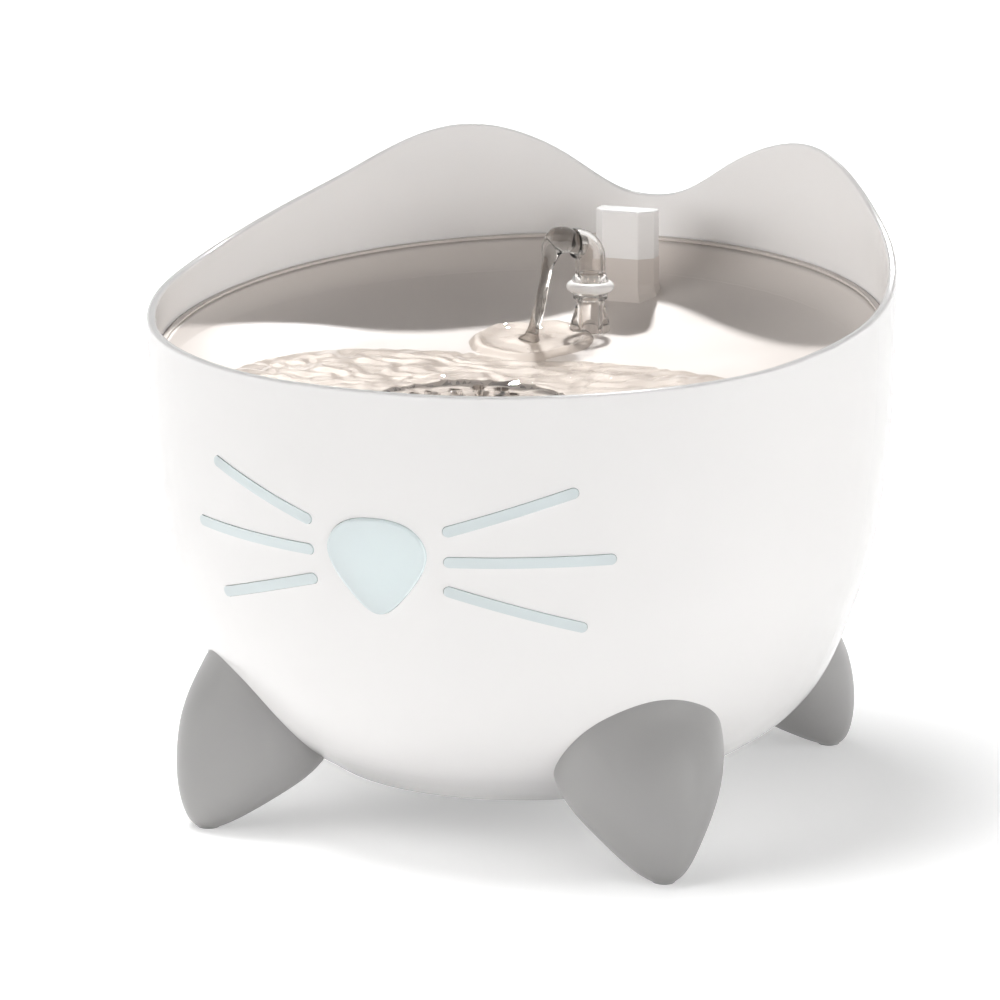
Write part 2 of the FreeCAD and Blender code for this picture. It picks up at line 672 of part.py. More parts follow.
def dish_side(drop, above):
    """Space above or below the dish surface, which is lowered by a drop. Its axis is tilted."""
    curve = spline([Vector(r, 0, z - drop) for r, z in DISH_PROFILE])
    end = curve.EndPoint
    start = curve.StartPoint
    far = 90 if above else -90
    outline = [end, Vector(145, 0, end.z + 40), Vector(145, 0, far), Vector(0, 0, far), start]
    edges = [curve.toShape()]
    edges += [Part.LineSegment(a, b).toShape() for a, b in zip(outline, outline[1:])]
    space = Part.Face(Part.Wire(edges)).revolve(Vector(0, 0, 0), UP, 360)
    space.rotate(Vector(0, 0, 0), Vector(1, 0, 0), math.degrees(math.atan(DISH_SLOPE)))
    space.translate(Vector(0, 0, RIM_MID_Z))
    return space


def rim_wedge():
    """Space above the tray's rim: level in front, rising to the back."""
    level_end = (FRONT_LIP_Z - RIM_MID_Z) / RIM_SLOPE
    back_z = RIM_MID_Z + RIM_SLOPE * 130
    outline = [(-130, FRONT_LIP_Z), (level_end, FRONT_LIP_Z), (130, back_z), (130, 260), (-130, 260)]
    points = [Vector(-130, y, z) for y, z in outline]
    return Part.Face(Part.makePolygon(points + points[:1])).extrude(Vector(260, 0, 0))


def grip_outline(scale):
    half = GRIP_HALF_WIDTH
    face = GRIP_FACE_HALF
    middle = (GRIP_FRONT + GRIP_BACK) / 2
    corners = [(-half, GRIP_BACK), (-half, GRIP_CHAMFER_Y), (-face, GRIP_FRONT), (face, GRIP_FRONT),
               (half, GRIP_CHAMFER_Y), (half, GRIP_BACK)]
    return [(x * scale, middle + (y - middle) * scale) for x, y in corners]


def grip_foot():
    """Lower half of the grip, which spreads where it meets the deck."""
    wires = []
    for z, scale in ((150.6, GRIP_FLARE), (153.4, 1.07), (156.5, 1.0)):
        points = [Vector(x, y, z) for x, y in grip_outline(scale)]
        wires.append(Part.makePolygon(points + points[:1]))
    spread = Part.makeLoft(wires, True, True)
    column = prism(grip_outline(1.0), 156.0, GRIP_SPLIT_Z)
    return join([spread, column]).cut(cylinder(PEG_R + 0.3, 156, GRIP_SPLIT_Z + 1, 0, 95.5))


def drinking_tray():
    ledge = SHELF_Z + GASKET_THICK
    blank = join([cylinder(TRAY_R, ledge, 200), cylinder(SKIRT_R, SKIRT_BOTTOM, ledge)])
    top = dish_side(0, True).common(cylinder(TRAY_R - TRAY_WALL, 100, 230))
    under_room = cylinder(SKIRT_R - TRAY_THICK, 90, ledge + FLANGE_THICK)
    under_room = under_room.fuse(cylinder(TRAY_R - TRAY_THICK, ledge + FLANGE_THICK, 200))
    under = dish_side(TRAY_THICK, False).common(under_room)
    tray = blank.cut(rim_wedge()).cut(top).cut(under)
    well_low = SEAT_Z - SEAT_THICK
    well = cylinder(WELL_R + WELL_WALL, well_low, 150, 0, WELL_Y).cut(dish_side(0.4, True))
    riser_boss = cylinder(STEM_SPIGOT_R + 2.4, 122, 150, 0, SPOUT_Y).cut(dish_side(0.4, True))
    tray = join([tray, well, riser_boss, grip_foot()])
    tray = tray.cut(cylinder(WELL_R, SEAT_Z, 160, 0, WELL_Y))
    tray = tray.cut(cylinder(SEAT_BORE, well_low - 1, 160, 0, WELL_Y))
    tray = tray.cut(cylinder(STEM_SPIGOT_R, 120, 160, 0, SPOUT_Y))
    return tray.cut(cylinder(STEM_SPIGOT_R + 1.1, STEM_BASE_Z, 152, 0, SPOUT_Y))


def tray_gasket():
    return ring(TRAY_R - 0.2, SHELF_BORE + 0.2, SHELF_Z, SHELF_Z + GASKET_THICK)


def riser_seal():
    return ring(STEM_SPIGOT_R, RISER_R + 0.05, 125, 129, 0, SPOUT_Y)


def filter_basket():
    flange = ring(GRILLE_R, BASKET_R - BASKET_WALL, SEAT_Z, SEAT_Z + 1.0, 0, WELL_Y)
    wall = ring(BASKET_R, BASKET_R - BASKET_WALL, BASKET_BOTTOM, SEAT_Z + 1.0, 0, WELL_Y)
    base = cylinder(BASKET_R, BASKET_BOTTOM, BASKET_BOTTOM + BASKET_WALL, 0, WELL_Y)
    for row in range(-3, 4):
        half = math.sqrt(21 ** 2 - (6.2 * row) ** 2)
        base = base.cut(box(-half, half, WELL_Y + 6.2 * row - 1.5, WELL_Y + 6.2 * row + 1.5,
                            BASKET_BOTTOM - 1, BASKET_BOTTOM + 5))
    return join([flange, wall, base])


def filter_frame():
    wall = ring(FRAME_R, FRAME_R - 1.4, FRAME_BOTTOM, FRAME_TOP, 0, WELL_Y)
    bars = [box(-FRAME_R + 0.5, FRAME_R - 0.5, WELL_Y + step - 0.9, WELL_Y + step + 0.9,
                FRAME_BOTTOM, FRAME_BOTTOM + 1.8) for step in (-12, -4, 4, 12)]
    bars = [bar.common(cylinder(FRAME_R - 0.5, 100, 130, 0, WELL_Y)) for bar in bars]
    return join([wall] + bars)


def filter_carbon():
    return cylinder(FRAME_R - 1.4, FRAME_BOTTOM + 1.8, FRAME_BOTTOM + 11, 0, WELL_Y)


def filter_foam():
    return cylinder(FRAME_R - 1.4, FRAME_BOTTOM + 11, FRAME_TOP - 1, 0, WELL_Y)


def filter_grille():
    low = SEAT_Z + 1.0
    plate = cylinder(GRILLE_R, low, low + GRILLE_THICK, 0, WELL_Y)
    skirt = ring(FRAME_R, FRAME_R - 1.4, FRAME_TOP, low + 1, 0, WELL_Y)
    for circle, count in ((10, 8), (18, 14)):
        for index in range(count):
            slot = box(circle - 2.6, circle + 2.6, -1.1, 1.1, low - 1, low + GRILLE_THICK + 1)
            slot.rotate(Vector(0, 0, 0), UP, 360 * index / count)
            slot.translate(Vector(0, WELL_Y, 0))
            plate = plate.cut(slot)
    tab = cylinder(4.0, low, low + GRILLE_THICK + 1.6, 0, WELL_Y)
    return join([plate, skirt, tab])


# Spout

def spout_stem():
    """Tube that spreads to the deck, with a spigot below, a flange and the neck that the spout turns on."""
    flare = spline([Vector(STEM_SPIGOT_R + 1.1, 0, STEM_BASE_Z), Vector(6.35, 0, 149), Vector(5.3, 0, 152.6),
                    Vector(4.95, 0, 156)])
    flange_low = STEM_SHOULDER_Z - 1.3
    outline = [(4.95, 156), (5.8, flange_low), (5.8, STEM_SHOULDER_Z), (STEM_NECK_R, STEM_SHOULDER_Z),
               (STEM_NECK_R, STEM_TOP_Z), (STEM_BORE, STEM_TOP_Z), (STEM_BORE, 138), (STEM_SPIGOT_R, 138),
               (STEM_SPIGOT_R, STEM_BASE_Z), (STEM_SPIGOT_R + 1.1, STEM_BASE_Z)]
    corners = [Vector(r, 0, z) for r, z in outline]
    edges = [flare.toShape()]
    edges += [Part.LineSegment(a, b).toShape() for a, b in zip(corners, corners[1:])]
    stem = Part.Face(Part.Wire(edges)).revolve(Vector(0, 0, 0), UP, 360)
    stem.translate(Vector(0, SPOUT_Y, 0))
    return stem


def bent_pipe(radius, low, front):
    """Upright run, quarter bend and level run towards the front."""
    bend_centre_y = SPOUT_Y - ELBOW_BEND_R
    upright = cylinder(radius, low, ELBOW_BEND_Z, 0, SPOUT_Y)
    section = Part.Face(Part.Wire(Part.makeCircle(radius, Vector(0, SPOUT_Y, ELBOW_BEND_Z), UP)))
    bend = section.revolve(Vector(0, bend_centre_y, ELBOW_BEND_Z), Vector(1, 0, 0), 90)
    level = rod(radius, front, bend_centre_y, ELBOW_BEND_Z + ELBOW_BEND_R)
    return join([upright, bend, level])


def spout_elbow():
    """Elbow whose outlet is turned to the left of straight ahead."""
    outlet_y = SPOUT_Y - OUTLET_REACH
    outside = bent_pipe(ELBOW_R, ELBOW_LOW_Z, outlet_y)
    taper = Part.makeCone(SOCKET_R, ELBOW_R, 2, Vector(0, SPOUT_Y, SOCKET_HIGH_Z), UP)
    outside = join([outside, cylinder(SOCKET_R, ELBOW_LOW_Z, SOCKET_HIGH_Z, 0, SPOUT_Y), taper])
    inside = bent_pipe(ELBOW_BORE, ELBOW_LOW_Z - 1, outlet_y - 1)
    socket = cylinder(STEM_NECK_R + SWIVEL_CLEARANCE, ELBOW_LOW_Z - 1, STEM_TOP_Z + 0.5, 0, SPOUT_Y)
    elbow = outside.cut(inside).cut(socket)
    elbow.rotate(Vector(0, SPOUT_Y, 0), UP, -SPOUT_TURN)
    return elbow


def spout_collar():
    collar = Part.makeTorus(COLLAR_MEAN_R, COLLAR_THICK_R, Vector(0, SPOUT_Y, COLLAR_Z), UP)
    return collar.cut(cylinder(SOCKET_R, COLLAR_Z - 4, COLLAR_Z + 4, 0, SPOUT_Y))


def grip_cap():
    block = prism(grip_outline(1.0), GRIP_SPLIT_Z, GRIP_TOP_Z)
    block = block.makeFillet(0.9, [edge for edge in block.Edges if edge.CenterOfMass.z > GRIP_SPLIT_Z + 1])
    return join([block, cylinder(PEG_R, 157, GRIP_SPLIT_Z + 1, 0, 95.5)])


def all_nodes():
    nodes = {
        "reservoir_shell": reservoir_shell(),
        "nose_lens": nose_lens(),
        "nose_seal": nose_seal(),
        "nose_lamp_cover": nose_lamp_cover(),
        "nose_lamp_board": nose_lamp_board(),
        "foot_pads": foot_pads(),
        "foot_screws": foot_screws(),
        "base_cover": base_cover(),
        "base_cover_screws": base_cover_screws(),
        "power_socket": power_socket(),
        "control_board": control_board(),
        "pump_lead": tube(PUMP_LEAD, PUMP_LEAD_R),
        "lamp_lead": tube(LAMP_LEAD, LAMP_LEAD_R),
        "lead_grommets": lead_grommets(),
        "pump_housing": pump_housing(),
        "impeller_cover": impeller_cover(),
        "intake_grille": intake_grille(),
        "flow_dial": flow_dial(),
        "impeller": impeller(),
        "rotor_magnet": rotor_magnet(),
        "rotor_shaft": rotor_shaft(),
        "rotor_bushes": rotor_bushes(),
        "pump_suction_cups": pump_suction_cups(),
        "riser_tube": riser_tube(),
        "drinking_tray": drinking_tray(),
        "tray_gasket": tray_gasket(),
        "riser_seal": riser_seal(),
        "filter_basket": filter_basket(),
        "filter_frame": filter_frame(),
        "filter_carbon": filter_carbon(),
        "filter_foam": filter_foam(),
        "filter_grille": filter_grille(),
        "spout_stem": spout_stem(),
        "spout_elbow": spout_elbow(),
        "spout_collar": spout_collar(),
        "grip_cap": grip_cap(),
    }
    for side, word in ((-1, "left"), (1, "right")):
        nodes["whisker_window_" + word] = whisker_window(side)
        nodes["whisker_seal_" + word] = whisker_seal(side)
    for name, angle, tip_shift in foot_places():
        nodes[name] = foot(angle, tip_shift)
    return nodes


os.makedirs("parts", exist_ok=True)
for node_name, node_shape in all_nodes().items():
    print(node_name, len(node_shape.Solids), node_shape.isValid(), round(node_shape.Volume))
    node_shape.exportStep("parts/" + node_name + ".step")
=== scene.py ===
import json
import math

import bmesh
import bpy
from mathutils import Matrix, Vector, noise
from mathutils.bvhtree import BVHTree


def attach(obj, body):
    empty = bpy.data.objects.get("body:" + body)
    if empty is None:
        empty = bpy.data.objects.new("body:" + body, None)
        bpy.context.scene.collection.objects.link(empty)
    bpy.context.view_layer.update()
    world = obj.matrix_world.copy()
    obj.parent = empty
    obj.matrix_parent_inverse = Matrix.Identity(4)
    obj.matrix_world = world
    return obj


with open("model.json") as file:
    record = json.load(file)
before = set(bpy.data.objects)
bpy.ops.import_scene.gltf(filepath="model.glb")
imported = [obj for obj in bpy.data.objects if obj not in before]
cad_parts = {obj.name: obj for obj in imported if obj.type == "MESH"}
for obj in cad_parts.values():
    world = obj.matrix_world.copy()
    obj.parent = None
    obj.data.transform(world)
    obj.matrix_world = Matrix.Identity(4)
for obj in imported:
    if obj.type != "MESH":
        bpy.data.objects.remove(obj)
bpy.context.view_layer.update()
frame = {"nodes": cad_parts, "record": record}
nodes = frame["nodes"]

MM = 0.001

# Camera at the photograph's viewing angle
CAMERA_PLACE = (0.58442, -1.44270, 0.45996)
CAMERA_PITCH = 76.97
CAMERA_TURN = 22.31
CAMERA_LENS = 174.6
CAMERA_SENSOR = 36.0

# Shoulder between the dish and the tray's rim, in millimetres
SHOULDER_LIP = 117.4
SHOULDER_INNER = 107.5
SHOULDER_DROP = 0.25
SHOULDER_TURNS = 240
SHOULDER_STEPS = 7
SHOULDER_HOLLOW = 0.16
SHOULDER_SUNK = 0.1
SHOULDER_THICKNESS = 1
LIP_RADIUS = 118

# Water in the drinking tray, in millimetres
POOL_LEVEL = 142.45
POOL_STEP = 1.0
POOL_HALF_WIDTH = 100
POOL_FRONT = -114
POOL_BACK = 72
WATER_BURIED = 0.35
RIPPLE_HEIGHT = 0.6
RIPPLE_LENGTH = 9.5
RIPPLE_REACH = 95.0
SWELL_HEIGHT = 1.5
SWELL_SIZE = 12.0
SHORE_DEPTH = 2.6
SHORE_START = 0.25
HIGHEST_FLOOR = 156
ABOVE_ALL = 200
LANDING = (-14.0, 43.5)
SPLASH_RADIUS = 19.0
SPLASH_SHEET = 0.75
SPLASH_RIM = 1.15
SPLASH_RIM_WIDTH = 2.6
SPLASH_FOOT = 2.2
SPLASH_FOOT_WIDTH = 4.2
SPLASH_LOBES = 0.22
SPLASH_TREMBLE = 0.16
SPLASH_TREMBLE_SIZE = 3.2
SPLASH_FALL = 2.2
SPLASH_EDGE = 5.0

# Jet from the spout: distance ahead of the outlet, height, half width and half thickness
SPOUT_AXIS_Y = 62.0
SPOUT_TURN = 37.0
SPOUT_REACH = 6.3
JET = [(-3.0, 175.2, 3.3, 3.3), (0.0, 175.9, 3.5, 3.5), (3.0, 177.2, 4.7, 4.4), (6.0, 177.6, 5.0, 4.6),
       (8.6, 175.2, 4.3, 3.6), (10.1, 171.2, 3.0, 2.3), (11.3, 166.4, 2.3, 1.6), (12.5, 160.6, 2.5, 1.3),
       (14.1, 154.3, 2.8, 1.4), (15.9, 148.9, 2.7, 1.5), (17.0, 145.6, 3.4, 2.2), (17.6, 143.4, 4.6, 3.2)]
JET_STEPS = 8
JET_SIDES = 40
JET_WOBBLE = 0.16
JET_WOBBLE_SIZE = 3.4
JET_CALM = 12

# Sun lamps: strength, half-shadow angle, and where each light comes from as azimuth and elevation
KEY = (4.2, 3.5, -163.7, 47.0)
SHELL_KEY = (1.1, 3.5, -163.7, 47.0)
LEFT_FILL = (3.15, 50.0, -56.0, 2.0)
RIGHT_FILL = (2.5, 50.0, 68.0, 2.0)
FLOOR_LIGHT = (2.1, 26.0, -70.0, 76.0)

# Upright softbox on the right: power in watts, width, height, distance, azimuth and elevation
SOFTBOX = (3.5, 0.42, 1.3, 1.6, 92.0, 4.0)
AMBIENT = 0.05
FLOOR_GLOW = 0.37


def add_light(name, setting, in_gloss=True):
    """Sun lamp that comes from an azimuth, counted from the front towards +X, and an elevation."""
    strength, angle, azimuth, elevation = setting
    lamp = bpy.data.lights.new(name, "SUN")
    lamp.energy = strength
    lamp.angle = math.radians(angle)
    holder = bpy.data.objects.new(name, lamp)
    bpy.context.scene.collection.objects.link(holder)
    turn = math.radians(azimuth)
    rise = math.radians(elevation)
    towards = Vector((math.sin(turn) * math.cos(rise), -math.cos(turn) * math.cos(rise), math.sin(rise)))
    holder.rotation_euler = towards.to_track_quat("Z", "Y").to_euler()
    holder.location = towards
    holder.visible_glossy = in_gloss
    return holder


def add_softbox(name, setting):
    """Rectangular lamp that faces the object and shows in its gloss."""
    power, width, height, distance, azimuth, elevation = setting
    lamp = bpy.data.lights.new(name, "AREA")
    lamp.shape = "RECTANGLE"
    lamp.energy = power
    lamp.size = width
    lamp.size_y = height
    holder = bpy.data.objects.new(name, lamp)
    bpy.context.scene.collection.objects.link(holder)
    turn = math.radians(azimuth)
    rise = math.radians(elevation)
    towards = Vector((math.sin(turn) * math.cos(rise), -math.cos(turn) * math.cos(rise), math.sin(rise)))
    holder.location = towards * distance
    holder.rotation_euler = towards.to_track_quat("Z", "Y").to_euler()
    return holder


def add_camera():
    camera = bpy.data.cameras.new("photo_camera")
    camera.lens = CAMERA_LENS
    camera.sensor_width = CAMERA_SENSOR
    camera.sensor_height = CAMERA_SENSOR
    camera.clip_end = 50
    holder = bpy.data.objects.new("photo_camera", camera)
    holder.location = CAMERA_PLACE
    holder.rotation_euler = (math.radians(CAMERA_PITCH), 0, math.radians(CAMERA_TURN))
    bpy.context.scene.collection.objects.link(holder)
    bpy.context.scene.camera = holder


# Materials

def empty_material(name):
    material = bpy.data.materials.new(name)
    material.use_nodes = True
    tree = material.node_tree
    tree.nodes.clear()
    output = tree.nodes.new("ShaderNodeOutputMaterial")
    shader = tree.nodes.new("ShaderNodeBsdfPrincipled")
    tree.links.new(shader.outputs["BSDF"], output.inputs["Surface"])
    return material, tree, shader, output


def noise_field(tree, scale, detail):
    """Noise in the object's own coordinates. Scale is in features per metre."""
    place = tree.nodes.new("ShaderNodeTexCoord")
    field = tree.nodes.new("ShaderNodeTexNoise")
    field.inputs["Scale"].default_value = scale
    field.inputs["Detail"].default_value = detail
    tree.links.new(place.outputs["Object"], field.inputs["Vector"])
    return field.outputs["Fac"]


def vary_color(tree, shader, color, spread, scale):
    """Base colour that drifts a little lighter and darker over the surface."""
    mix = tree.nodes.new("ShaderNodeMix")
    mix.data_type = "RGBA"
    mix.inputs["A"].default_value = [part * (1 - spread) for part in color] + [1]
    mix.inputs["B"].default_value = [min(1.0, part * (1 + spread)) for part in color] + [1]
    tree.links.new(noise_field(tree, scale, 3), mix.inputs["Factor"])
    tree.links.new(mix.outputs["Result"], shader.inputs["Base Color"])


def vary_roughness(tree, shader, low, high, scale):
    span = tree.nodes.new("ShaderNodeMapRange")
    span.inputs["To Min"].default_value = low
    span.inputs["To Max"].default_value = high
    tree.links.new(noise_field(tree, scale, 4), span.inputs["Value"])
    tree.links.new(span.outputs["Result"], shader.inputs["Roughness"])


def add_bump(tree, shader, scale, depth, detail=3):
    bump = tree.nodes.new("ShaderNodeBump")
    bump.inputs["Strength"].default_value = 1.0
    bump.inputs["Distance"].default_value = depth
    tree.links.new(noise_field(tree, scale, detail), bump.inputs["Height"])
    tree.links.new(bump.outputs["Normal"], shader.inputs["Normal"])


def moulded(name, color, roughness, spread=0.015, patch=18, grain=2400, depth=0.000004, coat=0.0):
    """Moulded plastic, rubber or metal: slow colour drift, fine grain and uneven gloss."""
    material, tree, shader, _ = empty_material(name)
    vary_color(tree, shader, color, spread, patch)
    vary_roughness(tree, shader, roughness * 0.85, roughness * 1.15, patch * 3)
    add_bump(tree, shader, grain, depth)
    shader.inputs["Coat Weight"].default_value = coat
    shader.inputs["Coat Roughness"].default_value = 0.08
    return material


def clear(name, color, roughness, index, depth, scale, solid=0.0, shade=(0.9, 0.9, 0.9)):
    """Clear plastic or water that lets light through to what lies under it."""
    material, tree, shader, output = empty_material(name)
    vary_color(tree, shader, color, 0.01, 30)
    vary_roughness(tree, shader, roughness * 0.7, roughness * 1.3, 60)
    add_bump(tree, shader, scale, depth)
    shader.inputs["Transmission Weight"].default_value = 1.0 - solid
    shader.inputs["IOR"].default_value = index
    passing = tree.nodes.new("ShaderNodeBsdfTransparent")
    passing.inputs["Color"].default_value = (*shade, 1)
    path = tree.nodes.new("ShaderNodeLightPath")
    either = tree.nodes.new("ShaderNodeMixShader")
    tree.links.new(path.outputs["Is Shadow Ray"], either.inputs["Fac"])
    tree.links.new(shader.outputs["BSDF"], either.inputs[1])
    tree.links.new(passing.outputs["BSDF"], either.inputs[2])
    tree.links.new(either.outputs["Shader"], output.inputs["Surface"])
    return material


def granular(name, color, grain, depth):
    """Loose grains or open foam: cells at a visible scale."""
    material, tree, shader, _ = empty_material(name)
    place = tree.nodes.new("ShaderNodeTexCoord")
    cells = tree.nodes.new("ShaderNodeTexVoronoi")
    cells.inputs["Scale"].default_value = grain
    tree.links.new(place.outputs["Object"], cells.inputs["Vector"])
    mix = tree.nodes.new("ShaderNodeMix")
    mix.data_type = "RGBA"
    mix.inputs["A"].default_value = [part * 0.55 for part in color] + [1]
    mix.inputs["B"].default_value = list(color) + [1]
    tree.links.new(cells.outputs["Distance"], mix.inputs["Factor"])
    tree.links.new(mix.outputs["Result"], shader.inputs["Base Color"])
    bump = tree.nodes.new("ShaderNodeBump")
    bump.inputs["Distance"].default_value = depth
    tree.links.new(cells.outputs["Distance"], bump.inputs["Height"])
    tree.links.new(bump.outputs["Normal"], shader.inputs["Normal"])
    vary_roughness(tree, shader, 0.7, 0.95, 200)
    return material


def brushed_steel():
    material, tree, shader, _ = empty_material("steel")
    vary_color(tree, shader, (0.62, 0.62, 0.63), 0.04, 300)
    vary_roughness(tree, shader, 0.22, 0.38, 900)
    add_bump(tree, shader, 4000, 0.000003)
    shader.inputs["Metallic"].default_value = 1.0
    return material


def all_materials():
    """One material for each slot of the record."""
    return {
        "shell_white": moulded("shell_white", (0.885, 0.87, 0.86), 0.2, coat=0.25),
        "tray_white": moulded("tray_white", (0.68, 0.625, 0.585), 0.34, spread=0.006),
        "foot_grey": moulded("foot_grey", (0.36, 0.353, 0.348), 0.34, spread=0.03, grain=3200,
                             depth=0.00001),
        "window_clear": clear("window_clear", (0.91, 0.985, 1.0), 0.05, 1.49, 0.000004, 500, solid=0.7),
        "spout_clear": clear("spout_clear", (0.93, 0.91, 0.89), 0.04, 1.5, 0.000004, 700),
        "tube_clear": clear("tube_clear", (0.92, 0.92, 0.92), 0.06, 1.45, 0.000004, 700),
        "collar_white": moulded("collar_white", (0.86, 0.85, 0.84), 0.22, coat=0.2),
        "rubber_grey": moulded("rubber_grey", (0.40, 0.40, 0.40), 0.7, spread=0.05, depth=0.00001),
        "rubber_black": moulded("rubber_black", (0.03, 0.03, 0.03), 0.65, spread=0.15, depth=0.00001),
        "steel": brushed_steel(),
        "pump_black": moulded("pump_black", (0.035, 0.035, 0.04), 0.45, spread=0.12, depth=0.00001),
        "circuit_green": moulded("circuit_green", (0.03, 0.20, 0.09), 0.35, spread=0.15, patch=140),
        "cable_black": moulded("cable_black", (0.025, 0.025, 0.025), 0.5, spread=0.1, depth=0.00001),
        "shaft_ceramic": moulded("shaft_ceramic", (0.86, 0.85, 0.81), 0.15, spread=0.02, patch=200),
        "carbon_black": granular("carbon_black", (0.05, 0.05, 0.05), 700, 0.0005),
        "foam_white": granular("foam_white", (0.84, 0.85, 0.85), 1400, 0.0002),
        "impeller_white": moulded("impeller_white", (0.80, 0.80, 0.78), 0.35, spread=0.03),
        "magnet_grey": moulded("magnet_grey", (0.13, 0.13, 0.14), 0.4, spread=0.1, patch=120),
    }


def dress_frame(materials):
    for part in frame["record"]["subparts"]:
        mesh = nodes[part["node"]].data
        mesh.materials.clear()
        mesh.materials.append(materials[part["material_slot"]])


def water_material():
    return clear("water", (0.43, 0.405, 0.38), 0.01, 1.333, 0.00003, 300, shade=(0.47, 0.45, 0.43))


# Water in the tray

def new_piece(name, corners, faces, body, material):
    mesh = bpy.data.meshes.new(name)
    mesh.from_pydata(corners, [], faces)
    mesh.validate()
    shape = bmesh.new()
    shape.from_mesh(mesh)
    bmesh.ops.recalc_face_normals(shape, faces=shape.faces)
    shape.to_mesh(mesh)
    shape.free()
    mesh.polygons.foreach_set("use_smooth", [True] * len(mesh.polygons))
    mesh.materials.append(material)
    piece = bpy.data.objects.new(name, mesh)
    bpy.context.scene.collection.objects.link(piece)
    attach(piece, body)
    return piece


def tray_surface():
    """Trees of the tray and of the grille in it, to find what lies under the water."""
    trees = []
    for name in ("drinking_tray", "filter_grille", "filter_basket"):
        mesh = nodes[name].data
        corners = [corner.co.copy() for corner in mesh.vertices]
        faces = [tuple(face.vertices) for face in mesh.polygons]
        trees.append(BVHTree.FromPolygons(corners, faces))
    return trees


def ground(trees, x, y):
    """Height of the tray or the grille under a point, in millimetres."""
    heights = []
    for tree in trees:
        hit = tree.ray_cast(Vector((x, y, ABOVE_ALL)) * MM, Vector((0, 0, -1)))[0]
        if hit:
            heights.append(hit.z / MM)
    return max(heights) if heights else None


def smooth(value):
    value = min(1.0, max(0.0, value))
    return value * value * (3 - 2 * value)


def pool_top(x, y, floor):
    """Level of the pool with rings that run out from the jet and an uneven swell."""
    away = math.hypot(x - LANDING[0], y - LANDING[1])
    drift = noise.noise(Vector((x, y, 7)) / SWELL_SIZE) * 0.9
    rings = math.sin(2 * math.pi * (away / RIPPLE_LENGTH + drift)) * math.exp(-away / RIPPLE_REACH)
    swell = noise.noise(Vector((x, y * 1.2, 31)) / SWELL_SIZE)
    chop = noise.noise(Vector((x, y, 53)) / (SWELL_SIZE * 0.42)) * 0.35
    depth = smooth((POOL_LEVEL - floor) / SHORE_DEPTH + SHORE_START)
    return POOL_LEVEL + depth * (RIPPLE_HEIGHT * rings + SWELL_HEIGHT * (swell * 0.6 + chop))


def splash_top(x, y, floor):
    """Sheet that spreads over the deck from the jet's foot, with a raised rim."""
    away = math.hypot(x - LANDING[0], y - LANDING[1])
    heading = math.atan2(y - LANDING[1], x - LANDING[0])
    lobes = noise.noise(Vector((math.cos(heading) * 1.3, math.sin(heading) * 1.3, 3.0)))
    reach = SPLASH_RADIUS * (1 + SPLASH_LOBES * lobes)
    foot = SPLASH_FOOT * math.exp(-(away / SPLASH_FOOT_WIDTH) ** 2)
    rim = SPLASH_RIM * math.exp(-((away - reach) / SPLASH_RIM_WIDTH) ** 2)
    tremble = SPLASH_TREMBLE * noise.noise(Vector((x, y, 11)) / SPLASH_TREMBLE_SIZE)
    past = smooth((away - reach) / SPLASH_EDGE)
    return floor + SPLASH_SHEET + foot + rim + tremble - past * SPLASH_FALL


def pool(material):
    """Closed sheet of water whose shore and underside lie just inside the tray."""
    trees = tray_surface()
    columns = int(2 * POOL_HALF_WIDTH / POOL_STEP) + 1
    rows = int((POOL_BACK - POOL_FRONT) / POOL_STEP) + 1
    wet = {}
    for row in range(rows):
        for column in range(columns):
            x = -POOL_HALF_WIDTH + column * POOL_STEP
            y = POOL_FRONT + row * POOL_STEP
            floor = ground(trees, x, y)
            if floor is None or floor > HIGHEST_FLOOR:
                continue
            top = max(pool_top(x, y, floor), splash_top(x, y, floor))
            wet[row, column] = (x, y, top, min(floor, top) - WATER_BURIED, top > floor)
    cells = []
    for row, column in wet:
        around = [(row, column), (row, column + 1), (row + 1, column + 1), (row + 1, column)]
        if all(place in wet for place in around):
            if any(wet[place][4] for place in around):
                cells.append(around)
    used = sorted({place for cell in cells for place in cell})
    index = {place: number for number, place in enumerate(used)}
    count = len(used)
    corners = [Vector(wet[place][:3]) * MM for place in used]
    corners += [Vector((wet[place][0], wet[place][1], wet[place][3])) * MM for place in used]
    faces = []
    sides = {}
    for cell in cells:
        ring = [index[place] for place in cell]
        faces.append(ring)
        faces.append([number + count for number in reversed(ring)])
        for start, end in zip(ring, ring[1:] + ring[:1]):
            if (end, start) in sides:
                del sides[end, start]
            else:
                sides[start, end] = True
    faces += [[end, start, start + count, end + count] for start, end in sides]
    return new_piece("pool_water", corners, faces, "tray", material)


